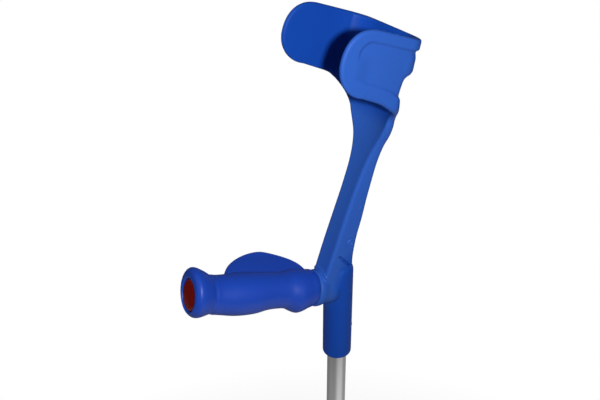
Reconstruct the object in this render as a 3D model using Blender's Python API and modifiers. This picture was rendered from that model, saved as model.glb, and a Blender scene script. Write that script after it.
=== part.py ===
"""Forearm crutch for the right hand, standing upright on its ferrule.

One moulding makes the forearm cuff, the shaft and the handle core. A soft grip
with a palm rest is pushed onto the core, and a height-adjustable tube leg is
riveted into the moulding's sleeve. The origin is the middle of the ferrule's
sole, +Z runs up the tubes, and the handle points forward, towards -X.
"""
import math

import bmesh
import bpy
import numpy as np
from mathutils import Matrix, Vector

MM = 0.001

# Clearances between pieces that touch
SEAT_GAP = 0.3 * MM
SLIDE_GAP = 0.3 * MM

# Handle and sleeve of the moulding
HANDLE_HEIGHT = 875.0 * MM
HANDLE_TILT = math.radians(14.8)
SLEEVE_BELOW_HANDLE = 82.5 * MM
SLEEVE_OD = 29.8 * MM
SLEEVE_LENGTH = 114.0 * MM
SLEEVE_EDGE = 3.5 * MM
SLEEVE_DOME = 10.0 * MM
TUBE_INSERT = 96.0 * MM
STUB_RADIUS = 15.6 * MM
STUB_START = 10.0 * MM
STUB_TIP = -6.0 * MM
COLLAR_RADIUS = 18.4 * MM
COLLAR_END = 31.0 * MM
COLLAR_LAND = 5.0 * MM
COLLAR_TAPER = 17.0 * MM
SPIGOT_RADIUS = 11.0 * MM
SPIGOT_END = 150.0 * MM
SPIGOT_CHAMFER = 1.0 * MM
SPIGOT_BORE = 10.6 * MM
SPIGOT_BORE_DEPTH = 55.0 * MM

# Tubes of the leg. The upper one follows the handle's height, and its lower end stays
TUBE_OD = 20.0 * MM
TUBE_WALL = 1.2 * MM
TUBE_CHAMFER = 0.3 * MM
UPPER_TUBE_END = 240.5 * MM
UPPER_TUBE_LENGTH = HANDLE_HEIGHT - SLEEVE_BELOW_HANDLE + TUBE_INSERT - UPPER_TUBE_END
LEG_WALL = 1.2 * MM
LEG_TUBE_LENGTH = 440.0 * MM
TUBE_SIDES = 36

# Plastic collar that guides the leg tube, and the bush on the leg tube's top
GUIDE_WALL = 2.2 * MM
GUIDE_LIP = 1.0 * MM
GUIDE_BELOW = 8.0 * MM
GUIDE_ABOVE = 20.0 * MM
GUIDE_EDGE = 2.0 * MM
BUSH_HEAD = 8.0 * MM
BUSH_STEM = 16.0 * MM
BUSH_WALL = 2.0 * MM
BUSH_CHAMFER = 1.0 * MM

# Height adjustment
HOLE_COUNT = 7
HOLE_PITCH = 25.0 * MM
REST_HOLE = 3
LOWEST_HOLE = 42.0 * MM
BUTTON_DIAMETER = 7.0 * MM
BUTTON_PROUD = 2.4 * MM
BUTTON_DOME = 2.2 * MM
BUTTON_FLANGE = 10.0 * MM
BUTTON_FLANGE_THICKNESS = 0.8 * MM
SPRING_STRIP = 0.5 * MM
SPRING_WIDTH = 6.0 * MM
SPRING_ABOVE = 6.0 * MM
SPRING_BELOW = 34.0 * MM
SPRING_BEND = 2.2 * MM

# Rivet that holds the tube in the sleeve
RIVET_HEIGHT = 32.0 * MM
RIVET_SHANK = 4.0 * MM
RIVET_HEAD = 8.0 * MM
RIVET_HEAD_THICKNESS = 1.4 * MM
RIVET_HEAD_GAP = 0.1 * MM
RIVET_BULB = 6.0 * MM
RIVET_BULB_LENGTH = 3.2 * MM
RIVET_BULB_GAP = 0.5 * MM

# Soft grip
GRIP_RIM_INNER = 15.2 * MM
GRIP_POCKET_DEPTH = 6.0 * MM
WING_REACH = 42.0 * MM
WING_ROOT = 2.0 * MM
WING_ROOT_THICKNESS = 11.4 * MM
WING_EDGE_THICKNESS = 4.8 * MM
WING_ROUNDING = 1.5 * MM
WING_CUTS = (0.3, 0.5, 0.7, 0.85)

# Reflector in the end of the grip
REFLECTOR_THICKNESS = 4.2 * MM
REFLECTOR_DOME = 0.8 * MM
REFLECTOR_STEM_LENGTH = 14.0 * MM

# Ferrule: heights up its flare and skirt, each with a step out from the neck or in from the
# sole's edge, and tread rings by their outer and inner radius
FERRULE_HEIGHT = 50.0 * MM
FERRULE_SOLE_DIAMETER = 40.0 * MM
FERRULE_NECK_DIAMETER = 26.5 * MM
FERRULE_LIP = 5.0 * MM
FERRULE_FLARE = ((24.0, 0.3), (18.0, 2.0))
FERRULE_SKIRT = ((11.0, 2.5), (7.0, 0.4), (2.0, 0.0), (0.0, 1.0))
FERRULE_FLOOR = 10.0 * MM
WASHER_THICKNESS = 1.8 * MM
WASHER_BORE = 5.0 * MM
TREAD_RINGS = ((16.5, 14.5), (12.0, 10.0))
TREAD_DEPTH = 1.6 * MM

# Cuff and shaft: a curved sheet that thickens downwards into the shaft
CUFF_LEAN = math.radians(17.2)
CUFF_ABOVE_HANDLE = 239.4 * MM
CUFF_BEHIND_TUBE = 18.6 * MM
CUFF_YAW = math.radians(4.5)
CUFF_HALF_WIDTH = 43.0 * MM
CUFF_ARM_LENGTH = 66.4 * MM
CUFF_BAND_HEIGHT = 57.0 * MM
CUFF_ARM_START = 10.5 * MM
CUFF_BACK_CORNER = 12.0 * MM
CUFF_RIM_WIDTH = 9.0 * MM
CUFF_RIM_PROUD = 1.8 * MM
CUFF_BULGE = 3.4 * MM
BAND_MIDDLE = 1.3 * MM
QUARTER_LENGTH = 50.0 * MM
SHAFT_END = -232.0 * MM

# Edges of the flat blank: they rise forward, and the lower one turns down into the shaft.
# The arm's end is a half circle with a fuller upper quarter, where a fullness of 2 is round
END_FULLNESS = 2.3
TOP_RISE = 0.042
BOTTOM_RISE = 0.101
BACK_ALONG = 45.0 * MM
TURN_ALONG = 43.5 * MM
TURN_HEIGHT_ALONG = 46.0 * MM
FOOT_ALONG = 60.0 * MM
RECESS_FLOOR = ((0, -44), (12, -43), (22, -39), (31, -34), (40, -28.5), (47, -24.5), (56, -20.2), (67, -17.7))
RECESS_FRONT_BOTTOM = -15.0 * MM
RECESS_CORNER = 11.0 * MM

# Stations down the forearm axis: height above the cuff's middle, then a size
FLOOR_STATIONS = ((29, 22.3), (0, 25.5), (-32, 29.3), (-60, 32.2), (-100, 30.4),
                  (-150, 28.2), (-228, 26.2))
HALF_WIDTH_STATIONS = ((-43, 34.5), (-51, 30.0), (-64, 24.5), (-76, 19.2), (-88, 15.0),
                       (-102, 12.8), (-122, 12.2), (-150, 12.6), (-190, 13.2), (-232, 12.8))
THICKNESS_STATIONS = ((-22, 5.1), (-34, 6.0), (-46, 6.2), (-64, 7.4), (-76, 8.6), (-90, 11.0),
                      (-107, 13.9), (-120, 15.6), (-150, 19.3), (-184, 21.6), (-198, 24.2),
                      (-215, 30.0), (-232, 33.0))
CUT_HEIGHTS = (17, 13, 9, 4, -1, -3, -5, -7, -9, -13, -18, -24, -30, -36, -42)
TAIL_HEIGHTS = (-218, -205, -192, -178, -164, -150, -136, -122, -110, -99, -88, -76, -64, -55, -47)
EDGE_STATIONS = ((-20, 1.7), (-60, 2.4), (-110, 3.6), (-232, 4.0))
ROUNDNESS_STATIONS = ((-2, 2.0), (-12, 1.65), (-26, 1.6), (-36, 1.8), (-60, 1.9), (-90, 2.0))

# Soft grip: place along the handle, radius, and how far its middle lies above the axis
GRIP_STATIONS = ((0.0, 17.4, 0.4), (3.5, 18.6, 0.2), (8.0, 19.4, -0.6), (13.5, 20.8, -1.6),
                 (19.0, 21.4, -2.2), (25.0, 20.0, -1.4), (31.0, 18.1, -0.5), (41.0, 17.6, -0.3),
                 (52.0, 18.2, -0.5), (63.0, 19.6, -1.5), (75.0, 20.1, -2.0), (87.0, 19.8, -2.1),
                 (97.0, 18.9, -1.7), (105.0, 18.3, -1.1), (113.5, 19.1, 0.7), (119.5, 21.7, 1.6),
                 (124.0, 23.0, 2.3), (128.0, 22.4, 3.0), (130.5, 19.9, 2.9), (131.2, 17.6, 2.0))
GRIP_SIDES = 24
WING_OUTLINE = ((1.5, 0.37), (4.0, 0.57), (11.0, 0.72), (20.0, 0.83), (32.0, 0.93),
                (41.5, 0.99), (50.0, 0.98), (62.5, 0.91), (74.0, 0.79), (84.0, 0.62),
                (91.0, 0.38), (93.0, 0.16))
WING_ROOT_RISE = 12.0 * MM
WING_EDGE_RISE = 21.5 * MM

LEG_OD = TUBE_OD - 2 * TUBE_WALL - 2 * SLIDE_GAP
LEG_ID = LEG_OD - 2 * LEG_WALL
SLEEVE_BOTTOM = HANDLE_HEIGHT - SLEEVE_BELOW_HANDLE
UPPER_TUBE_TOP = SLEEVE_BOTTOM + TUBE_INSERT
UPPER_TUBE_BOTTOM = UPPER_TUBE_TOP - UPPER_TUBE_LENGTH
LEG_BOTTOM = FERRULE_FLOOR + SEAT_GAP + WASHER_THICKNESS + SEAT_GAP
LEG_TOP = LEG_BOTTOM + LEG_TUBE_LENGTH
REST_HOLE_HEIGHT = UPPER_TUBE_BOTTOM + LOWEST_HOLE + REST_HOLE * HOLE_PITCH
GRIP_START = COLLAR_END + SEAT_GAP
GRIP_END = GRIP_START + GRIP_STATIONS[-1][0] * MM
POCKET_FLOOR = GRIP_END - GRIP_POCKET_DEPTH
BLANK_DEPTH = 12.0 * MM

HANDLE_FRAME = (Matrix.Translation((0, 0, HANDLE_HEIGHT))
                @ Matrix.Rotation(HANDLE_TILT - math.pi / 2, 4, 'Y'))
CUFF_FRAME = (Matrix.Translation((CUFF_BEHIND_TUBE, 0, HANDLE_HEIGHT + CUFF_ABOVE_HANDLE))
              @ Matrix.Rotation(CUFF_LEAN, 4, 'Y'))


def clear_scene():
    for thing in list(bpy.data.objects):
        bpy.data.objects.remove(thing, do_unlink=True)


def new_collection(name):
    group = bpy.data.collections.new(name)
    bpy.context.scene.collection.children.link(group)
    return group


def material(name, colour, roughness, metallic=0.0):
    surface = bpy.data.materials.new(name)
    surface.use_nodes = True
    shader = surface.node_tree.nodes["Principled BSDF"]
    shader.inputs["Base Color"].default_value = (*colour, 1.0)
    shader.inputs["Roughness"].default_value = roughness
    shader.inputs["Metallic"].default_value = metallic
    return surface


def mesh_object(name, bm, group, surface=None):
    """Turn a bmesh into an object of the named collection."""
    bmesh.ops.recalc_face_normals(bm, faces=bm.faces)
    mesh = bpy.data.meshes.new(name)
    bm.to_mesh(mesh)
    bm.free()
    mesh.shade_smooth()
    mesh.set_sharp_from_angle(angle=math.radians(35))
    thing = bpy.data.objects.new(name, mesh)
    group.objects.link(thing)
    if surface:
        mesh.materials.append(surface)
    if group == tools:
        thing.hide_render = True
        thing.display_type = 'WIRE'
    return thing


def turned(name, profile, group, surface=None, closed=False, sides=TUBE_SIDES):
    """Turn a profile of (radius, height) about Z; it runs down its outer side."""
    bm = bmesh.new()
    points = [bm.verts.new((radius, 0, height)) for radius, height in profile]
    for a, b in zip(points, points[1:]):
        bm.edges.new((a, b))
    if closed:
        bm.edges.new((points[-1], points[0]))
    mesh = bpy.data.meshes.new(name)
    bm.to_mesh(mesh)
    bm.free()
    thing = bpy.data.objects.new(name, mesh)
    group.objects.link(thing)
    if surface:
        mesh.materials.append(surface)
    screw = thing.modifiers.new("turn", 'SCREW')
    screw.steps = sides
    screw.render_steps = sides
    screw.use_merge_vertices = True
    screw.merge_threshold = 0.00001
    screw.use_smooth_shade = True
    if group == tools:
        thing.hide_render = True
        thing.display_type = 'WIRE'
    return thing


def rod(name, radius, start, end, group, sides=24):
    """A plain cylinder along the line from start to end."""
    start, end = Vector(start), Vector(end)
    line = end - start
    bm = bmesh.new()
    bmesh.ops.create_cone(bm, cap_ends=True, segments=sides, radius1=radius, radius2=radius,
                          depth=line.length)
    turn = line.to_track_quat('Z', 'Y').to_matrix().to_4x4()
    half_step = Matrix.Rotation(math.pi / sides, 4, 'Z')
    bm.transform(Matrix.Translation((start + end) / 2) @ turn @ half_step)
    return mesh_object(name, bm, group)


def boolean(target, other, operation):
    change = target.modifiers.new(operation.lower() + "_" + other.name, 'BOOLEAN')
    change.operation = operation
    change.object = other
    change.solver = 'EXACT'
    return change


def arc(centre, radius, first, last, count):
    """Points on a circle, from one angle to another in degrees."""
    turns = [math.radians(first + (last - first) * i / count) for i in range(count + 1)]
    return [(centre[0] + radius * math.cos(a), centre[1] + radius * math.sin(a)) for a in turns]


def station_value(stations, place):
    """A size in metres at a place, read from a smooth curve through its stations."""
    xs = np.array([s[0] for s in stations], float)
    ys = np.array([s[1] for s in stations], float)
    order = np.argsort(xs)
    xs, ys = xs[order], ys[order]
    x = min(max(place / MM, xs[0]), xs[-1])
    slopes = np.gradient(ys, xs)
    i = min(max(int(np.searchsorted(xs, x)) - 1, 0), len(xs) - 2)
    span = xs[i + 1] - xs[i]
    t = (x - xs[i]) / span
    value = ((1 + 2 * t) * (1 - t) ** 2 * ys[i] + t * (1 - t) ** 2 * span * slopes[i]
             + t * t * (3 - 2 * t) * ys[i + 1] + t * t * (t - 1) * span * slopes[i + 1])
    return value * MM


def smooth_step(low, high, value):
    t = min(max((value - low) / (high - low), 0.0), 1.0)
    return t * t * (3 - 2 * t)


def plan_point(along, height):
    """Inner face of the cuff in plan: place and outward direction at one height.

    The plan is a U that opens forward: a back across the forearm, an elliptic
    corner, and a straight arm. Below the middle the corner grows quickly until
    the U is the dish that runs into the shaft.
    """
    floor = station_value(FLOOR_STATIONS, height)
    corner_u = floor - CUFF_ARM_START
    rounding = smooth_step(3 * MM, 9 * MM, -height)
    power = station_value(ROUNDNESS_STATIONS, height) / MM
    corner_y = CUFF_BACK_CORNER + (CUFF_HALF_WIDTH - CUFF_BACK_CORNER) * rounding
    flat = CUFF_HALF_WIDTH - corner_y
    if along >= QUARTER_LENGTH:
        return CUFF_ARM_START - (along - QUARTER_LENGTH), CUFF_HALF_WIDTH, 0.0, 1.0
    angles = np.linspace(0, math.pi / 2, 41)
    us = np.concatenate(([floor], CUFF_ARM_START + corner_u * np.cos(angles) ** (2 / power)))
    ys = np.concatenate(([0.0], flat + corner_y * np.sin(angles) ** (2 / power)))
    run = np.concatenate(([0.0], np.cumsum(np.hypot(np.diff(us), np.diff(ys)))))
    place = along / QUARTER_LENGTH * run[-1]
    u, y = np.interp(place, run, us), np.interp(place, run, ys)
    if y <= flat:
        return u, y, 1.0, 0.0
    normal_u = max((u - CUFF_ARM_START) / corner_u, 0.0) ** (power - 1) / corner_u
    normal_y = max((y - flat) / corner_y, 0.0) ** (power - 1) / corner_y
    normal_y *= 1 - smooth_step(90 * MM, 140 * MM, -height)
    size = math.hypot(normal_u, normal_y)
    return u, y, normal_u / size, normal_y / size


def wrap_cuff(point):
    """Bend a point of the flat blank (along, depth, height) round the forearm."""
    along, depth, height = point
    side = -1 if along < 0 else 1
    u, y, normal_u, normal_y = plan_point(abs(along), height)
    thickness = station_value(THICKNESS_STATIONS, height)
    bulge = smooth_step(-18 * MM, -10 * MM, -height) - smooth_step(-1 * MM, 5 * MM, -height)
    thickness += CUFF_BULGE * 2 * normal_u * normal_y * bulge
    offset = depth if depth < BLANK_DEPTH / 2 else thickness - (BLANK_DEPTH - depth)
    u, y = u + normal_u * offset, side * (y + normal_y * offset)
    yaw = CUFF_YAW * smooth_step(-100 * MM, -45 * MM, height)
    reach = u - CUFF_ARM_START
    return Vector((CUFF_ARM_START + reach * math.cos(yaw) - y * math.sin(yaw),
                   y * math.cos(yaw) + reach * math.sin(yaw), height))


def cuff_outline(inset, arc_steps):
    """Half outline of the flat blank, from the middle of the shaft's end to the top."""
    radius = CUFF_BAND_HEIGHT / 2
    end_middle = QUARTER_LENGTH + CUFF_ARM_LENGTH - radius
    edge = station_value(EDGE_STATIONS, 0) * inset

    def tail(height):
        narrowed = station_value(EDGE_STATIONS, height) * inset
        return station_value(HALF_WIDTH_STATIONS, height) - narrowed, height

    def bottom(along):
        return BAND_MIDDLE - radius - BOTTOM_RISE * (end_middle - along) + edge

    def top(along):
        return BAND_MIDDLE + radius - TOP_RISE * (end_middle - max(along, BACK_ALONG)) - edge

    heights = [SHAFT_END] + [h * MM for h in TAIL_HEIGHTS]
    low = [(0.0, SHAFT_END)] + [tail(h) for h in heights]
    start = low[-1]
    turn = (TURN_ALONG - edge / 2, bottom(TURN_HEIGHT_ALONG))
    finish = (FOOT_ALONG, bottom(FOOT_ALONG))
    for i in range(1, 7):
        t = i / 6
        low.append(tuple((1 - t) ** 2 * a + 2 * t * (1 - t) * b + t * t * c
                         for a, b, c in zip(start, turn, finish)))
    end = []
    for across, up in arc((0, 0), 1, -90, 90, arc_steps):
        bend = 2 / END_FULLNESS if up > 0 else 1
        end.append((end_middle + (radius - edge) * across ** bend,
                    BAND_MIDDLE + (radius - edge) * math.copysign(abs(up) ** bend, up)))
    return low + end + [(BACK_ALONG, top(BACK_ALONG)), (0.0, top(0))]


def recess_outline(inset):
    """Half outline of the shallow recess inside the cuff's raised rim."""
    top = BAND_MIDDLE + CUFF_BAND_HEIGHT / 2 - CUFF_RIM_WIDTH - inset
    bottom = RECESS_FRONT_BOTTOM + inset
    front = QUARTER_LENGTH + CUFF_ARM_LENGTH - 2 * CUFF_RIM_WIDTH - inset
    low = [(x * MM, z * MM + inset) for x, z in RECESS_FLOOR]
    middle = front - RECESS_CORNER
    bend = arc((middle, bottom + RECESS_CORNER), RECESS_CORNER, -90, 0, 4)
    bend += arc((middle, top - RECESS_CORNER), RECESS_CORNER, 0, 90, 4)
    drop = TOP_RISE * (middle - BACK_ALONG)
    return low + bend + [(BACK_ALONG, top - drop), (0.0, top - drop)]


def both_halves(half):
    """The whole outline from its half; the ends of the half lie in the middle."""
    return half + [(-x, z) for x, z in reversed(half[1:-1])]


def skinned(rows):
    """A closed skin through rows of points, with a face over the first and last row."""
    bm = bmesh.new()
    rings = [[bm.verts.new(point) for point in row] for row in rows]
    for lower, upper in zip(rings, rings[1:]):
        for i in range(len(lower)):
            j = (i + 1) % len(lower)
            bm.faces.new((lower[i], lower[j], upper[j], upper[i]))
    bm.faces.new(rings[0])
    bm.faces.new(rings[-1])
    return bm


def evaluated(thing):
    """The object's mesh with its modifiers applied."""
    graph = bpy.context.evaluated_depsgraph_get()
    return bpy.data.meshes.new_from_object(thing.evaluated_get(graph))


def cut_grid(bm, axis, places):
    """Cut the mesh into strips, so that it can bend."""
    normal = Vector((axis == 'X', axis == 'Y', axis == 'Z'))
    for place in places:
        bmesh.ops.bisect_plane(bm, geom=bm.verts[:] + bm.edges[:] + bm.faces[:], dist=1e-6,
                               plane_co=normal * place, plane_no=normal)


def cuff_and_shaft():
    """The wrapped sheet: cut flat, recessed, then bent round the forearm."""
    def ring(inset, depth_of):
        return [(x, depth_of(station_value(EDGE_STATIONS, z)), z)
                for x, z in both_halves(cuff_outline(inset, 10))]

    def recess_ring(inset, depth):
        return [(x, depth, z) for x, z in both_halves(recess_outline(inset))]

    blank = mesh_object("cuff_blank", skinned([
        ring(1, lambda edge: 0.0), ring(0, lambda edge: edge),
        ring(0, lambda edge: BLANK_DEPTH - edge), ring(1, lambda edge: BLANK_DEPTH)]), tools)
    recess = mesh_object("cuff_recess", skinned([
        recess_ring(CUFF_RIM_PROUD, BLANK_DEPTH - CUFF_RIM_PROUD), recess_ring(0, BLANK_DEPTH),
        recess_ring(0, BLANK_DEPTH + CUFF_RIM_PROUD)]), tools)
    boolean(blank, recess, 'DIFFERENCE')
    bm = bmesh.new()
    bm.from_mesh(evaluated(blank))
    cut_grid(bm, 'X', [x * MM for x in range(-50, 51, 5)])
    cut_grid(bm, 'Z', [z * MM for z in CUT_HEIGHTS + TAIL_HEIGHTS])
    bmesh.ops.remove_doubles(bm, verts=bm.verts, dist=0.02 * MM)
    for vertex in bm.verts:
        vertex.co = CUFF_FRAME @ wrap_cuff(vertex.co)
    bmesh.ops.triangulate(bm, faces=bm.faces)
    return mesh_object("handle_moulding", bm, parts,
                       material("blue_polypropylene", (0.022, 0.082, 0.42), 0.42))


def build_moulding():
    moulding = cuff_and_shaft()
    radius = SLEEVE_OD / 2
    low, high = SLEEVE_BOTTOM, SLEEVE_BOTTOM + SLEEVE_LENGTH
    profile = [(0, high)] + [(x, z) for x, z in reversed(
        arc((radius - SLEEVE_DOME, high - SLEEVE_DOME), SLEEVE_DOME, 0, 90, 4))]
    profile += arc((radius - SLEEVE_EDGE, low + SLEEVE_EDGE), SLEEVE_EDGE, 0, -90, 3) + [(0, low)]
    sleeve = turned("sleeve_body", profile, tools)
    waist = (COLLAR_RADIUS + STUB_RADIUS) / 2
    handle = [(0, SPIGOT_END), (SPIGOT_RADIUS - SPIGOT_CHAMFER, SPIGOT_END),
              (SPIGOT_RADIUS, SPIGOT_END - SPIGOT_CHAMFER), (SPIGOT_RADIUS, COLLAR_END),
              (COLLAR_RADIUS - 0.2 * COLLAR_LAND, COLLAR_END),
              (COLLAR_RADIUS, COLLAR_END - 0.3 * COLLAR_LAND), (COLLAR_RADIUS, COLLAR_END - COLLAR_LAND),
              (waist, COLLAR_END - (COLLAR_LAND + COLLAR_TAPER) * 0.4),
              (STUB_RADIUS, COLLAR_END - COLLAR_TAPER), (STUB_RADIUS, STUB_START),
              (0.87 * STUB_RADIUS, 0.3 * STUB_START), (0.68 * STUB_RADIUS, 0.5 * STUB_TIP), (0, STUB_TIP)]
    core = turned("handle_core", handle, tools)
    core.matrix_world = HANDLE_FRAME
    bore = rod("tube_bore", TUBE_OD / 2 + SEAT_GAP, (0, 0, low - 1 * MM),
               (0, 0, UPPER_TUBE_TOP + SEAT_GAP), tools, TUBE_SIDES)
    coring = rod("core_bore", SPIGOT_BORE / 2, (0, 0, SPIGOT_END - SPIGOT_BORE_DEPTH),
                 (0, 0, SPIGOT_END + 1 * MM), tools, TUBE_SIDES)
    coring.matrix_world = HANDLE_FRAME
    rivet_hole = rod("sleeve_rivet_hole", RIVET_SHANK / 2 + SEAT_GAP, (0, 0, low + RIVET_HEIGHT),
                     (SLEEVE_OD, 0, low + RIVET_HEIGHT), tools, 16)
    for other in (sleeve, core):
        boolean(moulding, other, 'UNION')
    for other in (bore, coring, rivet_hole):
        boolean(moulding, other, 'DIFFERENCE')
    return moulding


def grip_ring(place, radius, rise):
    """One ring of the grip's body across the handle axis."""
    turns = [2 * math.pi * i / GRIP_SIDES for i in range(GRIP_SIDES)]
    return [(rise + radius * math.cos(a), radius * math.sin(a), place) for a in turns]


def palm_wing():
    """The palm rest: a dished plate on the outer side of the grip."""
    outline = [(share * WING_REACH, GRIP_START + place * MM) for place, share in WING_OUTLINE]
    outline = [(WING_ROOT, outline[0][1])] + outline + [(WING_ROOT, outline[-1][1])]
    bm = skinned([[(x, y, z) for y, z in outline] for x in (0, -1)])
    cut_grid(bm, 'Y', [share * WING_REACH for share in WING_CUTS])
    for vertex in bm.verts:
        across = vertex.co.y / WING_REACH
        thickness = WING_ROOT_THICKNESS + (WING_EDGE_THICKNESS - WING_ROOT_THICKNESS) * across
        rise = WING_ROOT_RISE + (WING_EDGE_RISE - WING_ROOT_RISE) * across ** 2
        vertex.co.x = rise + vertex.co.x * thickness
    bmesh.ops.triangulate(bm, faces=bm.faces)
    wing = mesh_object("palm_rest", bm, tools)
    wing.matrix_world = HANDLE_FRAME
    rounding = wing.modifiers.new("rounding", 'BEVEL')
    rounding.width = WING_ROUNDING
    rounding.segments = 2
    rounding.angle_limit = math.radians(50)
    return wing


def build_grip():
    rows = [grip_ring(GRIP_START + place * MM, radius * MM, rise * MM)
            for place, radius, rise in GRIP_STATIONS]
    grip = mesh_object("grip_sleeve", skinned(rows), parts,
                       material("blue_soft_grip", (0.03, 0.09, 0.45), 0.6))
    grip.matrix_world = HANDLE_FRAME
    beyond = GRIP_END + 5 * MM
    bore = rod("grip_bore", SPIGOT_RADIUS + SEAT_GAP, (0, 0, 0), (0, 0, beyond), tools)
    pocket = rod("grip_pocket", GRIP_RIM_INNER, (0, 0, POCKET_FLOOR), (0, 0, beyond), tools)
    boolean(grip, palm_wing(), 'UNION')
    for other in (bore, pocket):
        other.matrix_world = HANDLE_FRAME
        boolean(grip, other, 'DIFFERENCE')
    return grip


def build_reflector():
    radius = GRIP_RIM_INNER - SEAT_GAP
    back = POCKET_FLOOR + SEAT_GAP
    face = back + REFLECTOR_THICKNESS
    stem = SPIGOT_BORE / 2 - SEAT_GAP
    root = SPIGOT_END - REFLECTOR_STEM_LENGTH
    profile = [(0, face + REFLECTOR_DOME), (0.45 * radius, face + 0.8 * REFLECTOR_DOME),
               (0.8 * radius, face + 0.35 * REFLECTOR_DOME), (radius, face - 0.5 * REFLECTOR_DOME),
               (radius, back), (stem, back), (stem, root), (0, root)]
    reflector = turned("end_reflector", profile, parts, material("red_reflector", (0.12, 0.004, 0.002), 0.2))
    reflector.matrix_world = HANDLE_FRAME
    return reflector


def hole_heights():
    return [UPPER_TUBE_BOTTOM + LOWEST_HOLE + i * HOLE_PITCH for i in range(HOLE_COUNT)]


def tube_profile(outer, inner, low, high):
    """Wall of a tube with its outer edges broken by a small chamfer."""
    return [(outer - TUBE_CHAMFER, high), (outer, high - TUBE_CHAMFER), (outer, low + TUBE_CHAMFER),
            (outer - TUBE_CHAMFER, low), (inner, low), (inner, high)]


def build_upper_tube():
    tube = turned("upper_tube", tube_profile(TUBE_OD / 2, TUBE_OD / 2 - TUBE_WALL,
                                             UPPER_TUBE_BOTTOM, UPPER_TUBE_TOP), parts,
                  material("anodised_aluminium", (0.5, 0.49, 0.47), 0.35, 1.0), closed=True)
    for number, height in enumerate(hole_heights()):
        hole = rod(f"height_hole_{number + 1}", BUTTON_DIAMETER / 2 + SEAT_GAP, (0, 0, height),
                   (TUBE_OD, 0, height), tools, 20)
        boolean(tube, hole, 'DIFFERENCE')
    height = SLEEVE_BOTTOM + RIVET_HEIGHT
    hole = rod("tube_rivet_hole", RIVET_SHANK / 2 + SEAT_GAP, (0, 0, height), (TUBE_OD, 0, height),
               tools, 16)
    boolean(tube, hole, 'DIFFERENCE')
    return tube


def build_rivet():
    """Blind rivet through the sleeve and the tube, on the side away from the hand."""
    shank, head, bulb = RIVET_SHANK / 2, RIVET_HEAD / 2, RIVET_BULB / 2
    outside = SLEEVE_OD / 2 + RIVET_HEAD_GAP
    inside = TUBE_OD / 2 - TUBE_WALL - RIVET_BULB_GAP
    end = inside - RIVET_BULB_LENGTH
    profile = [(0, outside + RIVET_HEAD_THICKNESS), (0.6 * head, outside + 0.8 * RIVET_HEAD_THICKNESS),
               (head, outside + 0.3 * RIVET_HEAD_THICKNESS), (head, outside), (shank, outside),
               (shank, inside), (bulb, inside - 0.2 * RIVET_BULB_LENGTH),
               (bulb, inside - 0.75 * RIVET_BULB_LENGTH), (0.4 * bulb, end), (0, end)]
    rivet = turned("sleeve_rivet", profile, parts, material("rivet_steel", (0.45, 0.45, 0.46), 0.35, 1.0),
                   sides=20)
    rivet.matrix_world = (Matrix.Translation((0, 0, SLEEVE_BOTTOM + RIVET_HEIGHT))
                          @ Matrix.Rotation(math.pi / 2, 4, 'Y'))
    return rivet


def build_tube_collar():
    """Plastic collar on the upper tube's lower end, which guides the leg tube."""
    outer, lip = TUBE_OD / 2 + GUIDE_WALL, TUBE_OD / 2 + GUIDE_LIP
    seat = TUBE_OD / 2 + SEAT_GAP
    guide = LEG_OD / 2 + SLIDE_GAP / 2
    low, high = UPPER_TUBE_BOTTOM - GUIDE_BELOW, UPPER_TUBE_BOTTOM + GUIDE_ABOVE
    shoulder = UPPER_TUBE_BOTTOM - SEAT_GAP
    profile = [(lip, high), (outer, high - GUIDE_EDGE), (outer, low + GUIDE_EDGE),
               (outer - 0.75 * GUIDE_EDGE, low), (guide, low), (guide, shoulder), (seat, shoulder),
               (seat, high)]
    return turned("tube_collar", profile, parts, material("black_plastic", (0.012, 0.012, 0.013), 0.45),
                  closed=True)


def build_leg_tube():
    tube = turned("leg_tube", tube_profile(LEG_OD / 2, LEG_ID / 2, LEG_BOTTOM, LEG_TOP), parts,
                  material("anodised_leg", (0.5, 0.49, 0.47), 0.35, 1.0), closed=True)
    hole = rod("button_hole", BUTTON_DIAMETER / 2 + SEAT_GAP, (0, 0, REST_HOLE_HEIGHT),
               (TUBE_OD, 0, REST_HOLE_HEIGHT), tools, 20)
    boolean(tube, hole, 'DIFFERENCE')
    return tube


def build_leg_top_bush():
    """Plastic bush in the top of the leg tube, which runs inside the upper tube."""
    outer = TUBE_OD / 2 - TUBE_WALL - SLIDE_GAP / 2
    stem = LEG_ID / 2 - SEAT_GAP
    bore = stem - BUSH_WALL
    seat = LEG_TOP + SEAT_GAP
    top, low = seat + BUSH_HEAD, seat - BUSH_STEM
    profile = [(outer - BUSH_CHAMFER, top), (outer, top - BUSH_CHAMFER), (outer, seat),
               (stem, seat), (stem, low), (bore, low), (bore, top)]
    return turned("leg_top_bush", profile, parts, material("white_acetal", (0.75, 0.75, 0.73), 0.4),
                  closed=True)


def build_button():
    """Spring button whose head stands through the leg tube and the upper tube."""
    radius, flange = BUTTON_DIAMETER / 2, BUTTON_FLANGE / 2
    seat = math.sqrt((LEG_ID / 2) ** 2 - flange ** 2) - SEAT_GAP
    tip = TUBE_OD / 2 + BUTTON_PROUD
    back = seat - BUTTON_FLANGE_THICKNESS
    profile = [(0, tip), (0.45 * radius, tip - 0.1 * BUTTON_DOME), (0.8 * radius, tip - 0.45 * BUTTON_DOME),
               (radius, tip - BUTTON_DOME), (radius, seat), (flange, seat), (flange, back), (0, back)]
    button = turned("height_button", profile, parts, material("button_steel", (0.6, 0.6, 0.6), 0.25, 1.0),
                    sides=20)
    button.matrix_world = Matrix.Translation((0, 0, REST_HOLE_HEIGHT)) @ Matrix.Rotation(math.pi / 2, 4, 'Y')
    return button


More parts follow.
